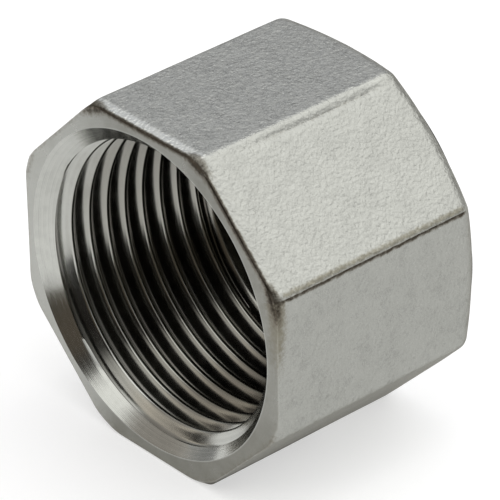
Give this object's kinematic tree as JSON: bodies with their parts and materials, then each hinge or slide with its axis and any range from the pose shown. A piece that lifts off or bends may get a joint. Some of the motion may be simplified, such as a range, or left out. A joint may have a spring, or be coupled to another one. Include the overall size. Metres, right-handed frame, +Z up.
{
  "type": "pipe cap",
  "caption": "Octagonal stainless cap with a countersunk internal pipe thread and a chamfered closed end, for closing the end of a threaded pipe.",
  "frame": {"origin": "middle of the flat that the cap lies on, halfway along its length", "axes": "+Z up from the flat that it lies on, -Y out of the threaded mouth, +Y out of the closed end"},
  "size_m": [0.037, 0.0264, 0.037],
  "materials": {
    "cast_stainless_steel": "blasted investment casting on the flats and the closed end, turned mouth ring, bright machined countersink and thread"
  },
  "bodies": {
    "root": {"cap_body": "cast_stainless_steel"}
  },
  "joints": []
}
